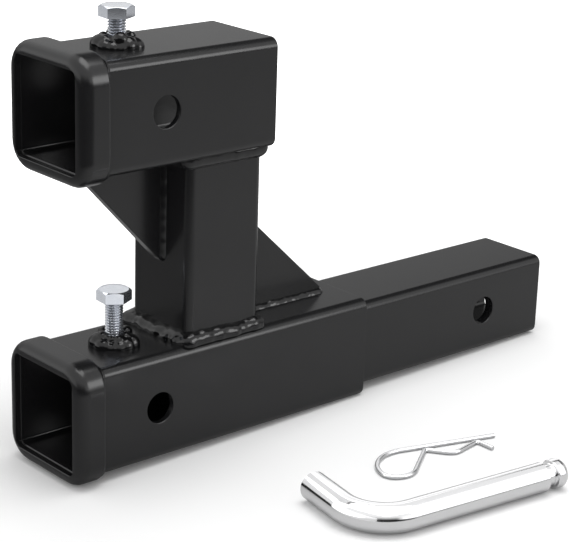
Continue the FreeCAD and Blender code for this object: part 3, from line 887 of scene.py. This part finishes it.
def bar_tree():
    tree, given = new_tree("round_bar", {"Sides": 48})
    line = add(tree, "GeometryNodeMeshToCurve", {"Mesh": given["Geometry"]})
    radius = add(tree, "GeometryNodeInputNamedAttribute", {"Name": "bar_radius"}, data_type="FLOAT")
    ring = add(tree, "GeometryNodeCurvePrimitiveCircle", {"Resolution": given["Sides"], "Radius": 1.0})
    bar = add(tree, "GeometryNodeCurveToMesh", {
        "Curve": line.outputs[0], "Profile Curve": ring.outputs[0],
        "Scale": radius.outputs["Attribute"], "Fill Caps": True})
    close_tree(tree, bar.outputs[0], chrome)
    return tree


round_bar = bar_tree()
print("bar tree", len(round_bar.nodes), "nodes")

# %% The hitch pin
PIN_CORNERS, PIN_BEND = ((-216.0, -112.0), (-225.3, -164.7), (-103.8, -182.9)), 24.0
PIN_RADIUS, GROOVE_RADIUS = 7.94, 5.8
GROOVE_BACK, HEAD_BACK, HEAD_ROUND = 13.2, 7.8, 4.4


def hitch_pin():
    corners = [Vector((x, y, floor_height(x) + PIN_RADIUS)) for x, y in PIN_CORNERS]
    path = bent_path(corners, [PIN_BEND], step_degrees=4.0)
    end = measured(path)[-1]
    r, g = PIN_RADIUS, GROOVE_RADIUS
    groove, head = end - GROOVE_BACK, end - HEAD_BACK
    profile = [(0.0, r - 0.9), (0.9, r), (groove - 0.5, r), (groove - 0.1, r - 0.35), (groove, r - 0.6),
               (groove + 0.1, g + 0.3), (groove + 0.5, g), (head - 0.5, g), (head - 0.1, g + 0.3),
               (head, r - 0.6), (head + 0.1, r - 0.35), (head + 0.5, r)]
    for c, s in right_angle(8):
        profile.append((end - HEAD_ROUND * (1 - s), r - HEAD_ROUND * (1 - c)))
    return rod_path("pin_chrome", path, profile)


pin = dress(hitch_pin(), round_bar, {"Sides": 64})
finish_piece(pin, chrome, "weldment", "chrome_plate", "hitch_pin")

# %% The spring clip
WIRE_RADIUS = 1.3
CLIP_AT, CLIP_TURN = (-147.3, -98.2), math.radians(-19.2)
CLIP_CORNERS = [(63.9, 0.0), (-15.1, 0.0), (-15.1, 30.3), (0.0, 30.3), (19.3, 3.7), (32.7, 13.6),
                (51.3, 3.8), (55.2, 15.0)]
CLIP_BENDS = [21.3, 8.3, 11.6, 2.3, 7.0, 2.3]


def spring_clip():
    corners = []
    for u, w in CLIP_CORNERS:
        x = CLIP_AT[0] + u * math.cos(CLIP_TURN) + w * math.sin(CLIP_TURN)
        y = CLIP_AT[1] + u * math.sin(CLIP_TURN) - w * math.cos(CLIP_TURN)
        corners.append(Vector((x, y, floor_height(x) + WIRE_RADIUS)))
    path = bent_path(corners, CLIP_BENDS, step_degrees=5.0)
    end = measured(path)[-1]
    r = WIRE_RADIUS
    profile = [(0.0, r - 0.35), (0.1, r - 0.15), (0.35, r), (end - 0.35, r), (end - 0.1, r - 0.15),
               (end, r - 0.35)]
    return rod_path("clip_wire", path, profile)


clip = dress(spring_clip(), round_bar, {"Sides": 24})
finish_piece(clip, wire, "weldment", "bright_wire", "hairpin_clip")

# %% [markdown]
# ## Small beads kept from the CAD
# The thin beads behind the collars and round the shank are right as they are. They only take the
# coating.

# %% Coat the CAD nodes that stay
for name in ("lower_collar_weld", "upper_collar_weld", "shank_weld"):
    mesh = frame["nodes"][name].data
    for slot in range(len(mesh.materials)):
        mesh.materials[slot] = black_coat
    print("coated", name)

# %% [markdown]
# ## Floor, world and lamps
# The picture is a product shot on white. The floor is pale, and a little light of its own that only
# the camera sees lifts it to white and leaves the soft shadow.

# %% The floor
RIGHTWARD, NEARER = (0.751, -0.66, 0.0), (-0.66, -0.751, 0.0)
PART_AT = (-0.13, -0.08, 0.0)


def white_paper():
    """Painted reflection: only glossy rays see the floor darker on its left and near the photographer."""
    material = bpy.data.materials.new("matt_white_paper")
    material.use_nodes = True
    tree = material.node_tree
    tree.nodes.clear()
    rays = add(tree, "ShaderNodeLightPath")
    where = add(tree, "ShaderNodeTexCoord").outputs["Object"]
    across = add(tree, "ShaderNodeVectorMath", {0: where, 1: RIGHTWARD}, operation="DOT_PRODUCT")
    # Painted reflection: these two ramps darken only what glossy rays see of the floor; the camera sees it
    # near white.
    lit = add(tree, "ShaderNodeMapRange", {
        0: across.outputs["Value"], 1: -0.45, 2: -0.05, 3: 0.2, 4: 0.6}, **SMOOTH)
    along = add(tree, "ShaderNodeVectorMath", {0: where, 1: NEARER}, operation="DOT_PRODUCT")
    near = add(tree, "ShaderNodeMapRange", {
        0: along.outputs["Value"], 1: 0.46, 2: 0.64, 3: 1.0, 4: 0.12}, **SMOOTH)
    mirrored = add(tree, "ShaderNodeMath", {0: lit.outputs[0], 1: near.outputs[0]}, operation="MULTIPLY")
    shade = add(tree, "ShaderNodeMix", {
        "Factor": rays.outputs["Is Glossy Ray"], "A": linear("#fbfbfb"), "B": mirrored.outputs[0]},
        data_type="RGBA")
    paper = add(tree, "ShaderNodeBsdfDiffuse", {"Color": shade.outputs["Result"]})
    away = add(tree, "ShaderNodeVectorMath", {0: where, 1: PART_AT}, operation="DISTANCE")
    fade = add(tree, "ShaderNodeMapRange", {
        0: away.outputs["Value"], 1: 0.2, 2: 0.6, 3: 0.04, 4: 1.0}, **SMOOTH)
    lift = add(tree, "ShaderNodeMath", {
        0: rays.outputs["Is Camera Ray"], 1: fade.outputs[0]}, operation="MULTIPLY")
    glow = add(tree, "ShaderNodeEmission", {"Strength": lift.outputs[0]})
    both = add(tree, "ShaderNodeAddShader", {0: paper.outputs[0], 1: glow.outputs[0]})
    add(tree, "ShaderNodeOutputMaterial", {"Surface": both.outputs[0]})
    return material


def make_floor(reach=3000.0):
    corners = [(-reach, -reach), (reach, -reach), (reach, reach), (-reach, reach)]
    mesh = bpy.data.meshes.new("floor")
    mesh.from_pydata([Vector((x, y, floor_height(x))) * MM for x, y in corners], [], [(0, 1, 2, 3)])
    mesh.materials.append(white_paper())
    floor = new_object("floor", mesh)
    return floor


print(make_floor().name)

# %% [markdown]
# Chrome and black gloss show their surroundings, so the world is a studio and not one colour. To the
# camera it is plain white. In a reflection it is bright overhead, dimmer low down behind the part, and
# dark in a low band on the photographer's side, which draws the dark streak along the pin. One patch
# high behind the part's right end is left unlit. It draws the dark line that runs along the top edges
# before they turn bright.

# %% The walls of the studio, by the direction round the part
world = bpy.data.worlds.new("studio")
bpy.context.scene.world = world
world.use_nodes = True
sky = world.node_tree
sky.nodes.clear()
toward = add(sky, "ShaderNodeTexCoord").outputs["Generated"]
facing = add(sky, "ShaderNodeVectorMath", {0: toward, 1: NEARER}, operation="DOT_PRODUCT").outputs["Value"]
aside = add(sky, "ShaderNodeVectorMath", {0: toward, 1: RIGHTWARD}, operation="DOT_PRODUCT").outputs["Value"]
turn = add(sky, "ShaderNodeMath", {0: aside, 1: facing}, operation="ARCTAN2")
whole_turn = add(sky, "ShaderNodeMapRange", {0: turn.outputs[0], 1: -math.pi, 2: math.pi})
walls = add(sky, "ShaderNodeValToRGB", {"Fac": whole_turn.outputs[0]})
WALLS = [(-180, 0.42), (-122, 0.42), (-108, 1.3), (-42, 1.3), (-32, 0.12), (24, 0.12), (38, 1.4),
         (88, 1.4), (104, 0.42), (180, 0.42)]
ramp = walls.color_ramp
for degrees, level in WALLS[1:-1]:
    ramp.elements.new(degrees / 360 + 0.5).color = (level, level, level, 1)
ramp.elements[0].color = ramp.elements[-1].color = (WALLS[0][1],) * 3 + (1,)
print("wall levels", len(ramp.elements))

# %% The dome, the low dark band and the unlit patch
UNLIT_AT = (0.62, 0.27, 0.735)
upward = add(sky, "ShaderNodeSeparateXYZ", {0: toward}).outputs["Z"]
dome = add(sky, "ShaderNodeMapRange", {0: upward, 1: 0.2, 2: 0.6}, **SMOOTH)
room = add(sky, "ShaderNodeMix", {
    "Factor": dome.outputs[0], "A": walls.outputs[0], "B": (1, 1, 1, 1)}, data_type="RGBA")
band = add(sky, "ShaderNodeMapRange", {0: facing, 1: 0.3, 2: 0.95, 3: 0.03, 4: 0.2})
over = add(sky, "ShaderNodeMath", {0: upward, 1: band.outputs[0]}, operation="SUBTRACT")
edge = add(sky, "ShaderNodeMapRange", {
    0: over.outputs[0], 1: -0.02, 2: 0.03, 3: 0.04, 4: 1.0}, **SMOOTH)
aloft = add(sky, "ShaderNodeVectorMath", {0: toward, 1: UNLIT_AT}, operation="DOT_PRODUCT")
unlit = add(sky, "ShaderNodeMapRange", {
    0: aloft.outputs["Value"], 1: 0.78, 2: 0.96, 3: 1.0, 4: 0.04}, **SMOOTH)
dimmed = add(sky, "ShaderNodeMath", {0: edge.outputs[0], 1: unlit.outputs[0]}, operation="MULTIPLY")
room = add(sky, "ShaderNodeVectorMath", {
    0: room.outputs["Result"], "Scale": dimmed.outputs[0]}, operation="SCALE")

# %% What each kind of ray sees
sight = add(sky, "ShaderNodeLightPath")
seen = add(sky, "ShaderNodeMix", {
    "Factor": sight.outputs["Is Glossy Ray"], "A": (0.75, 0.75, 0.75, 1), "B": room.outputs[0]},
    data_type="RGBA")
seen = add(sky, "ShaderNodeMix", {
    "Factor": sight.outputs["Is Camera Ray"], "A": seen.outputs["Result"], "B": (1, 1, 1, 1)},
    data_type="RGBA")
glow = add(sky, "ShaderNodeBackground", {"Color": seen.outputs["Result"], "Strength": 1.0})
add(sky, "ShaderNodeOutputWorld", {"Surface": glow.outputs[0]})
print("world", len(sky.nodes), "nodes")

# %% [markdown]
# A wide lamp overhead lights the part and casts its soft shadow. A small one, low on the right, is seen
# only in reflections and draws the bright line along the rounded edges, which fades towards the shank.

# %% The lamps


def soft_box(name, at, target, width, height, watts):
    data = bpy.data.lights.new(name, "AREA")
    data.shape = "RECTANGLE"
    data.size, data.size_y = width, height
    data.energy = watts
    lamp = new_object(name, data)
    lamp.location = at
    lamp.rotation_mode = "QUATERNION"
    lamp.rotation_quaternion = (Vector(target) - Vector(at)).to_track_quat("-Z", "Y")
    return lamp


overhead = soft_box("overhead", (-0.1, -0.1, 1.2), (-0.15, 0, 0.05), 0.8, 0.8, 6.5)
right_front = soft_box("right_front", (0.27, -0.86, 0.42), (-0.25, 0, 0.05), 0.5, 0.4, 2.2)
right_front.visible_diffuse = False
print("lamps", overhead.name, right_front.name)

# %% [markdown]
# Bolts, pin and clip are bright all round in the picture, because white cards stood close to them. These
# lamps stand in for the cards: light linking lets only the bright pieces see them.

# %% White cards for the bright pieces


def pieces_of(*finishes):
    group = bpy.data.collections.new("lit_" + finishes[0].name)
    for thing in bpy.context.scene.objects:
        if thing.type == "MESH" and thing.data.materials and thing.data.materials[0] in finishes:
            group.objects.link(thing)
    return group


bolts, loose = pieces_of(zinc), pieces_of(chrome, wire)
for name, at, target, width, height, watts, seen_by in [
        ("card_above_bolts", (-0.2, -0.1, 0.8), (-0.2, -0.1, 0.0), 1.6, 1.6, 10, bolts),
        ("card_behind_bolts", (0.6, 0.85, 0.3), (-0.2, 0, 0.1), 1.6, 0.5, 1.2, bolts),
        ("card_under_bolts", (-1.2, 0.3, -0.033), (-1.2, 0.3, 1.0), 2.0, 2.4, 8, bolts),
        ("card_above_pin", (-0.1, -0.2, 0.6), (-0.1, -0.2, 0.0), 1.2, 1.2, 4, loose),
        ("card_behind_pin", (-0.13, -0.036, 0.07), (-0.13, -0.2, 0.07), 0.5, 0.16, 0.2, loose),
        ("card_left_of_pin", (-0.42, -0.1, 0.03), (-0.1, -0.15, 0.03), 0.5, 0.14, 0.16, loose)]:
    card = soft_box(name, at, target, width, height, watts)
    card.light_linking.receiver_collection = seen_by
bpy.context.scene.view_settings.view_transform = "Standard"
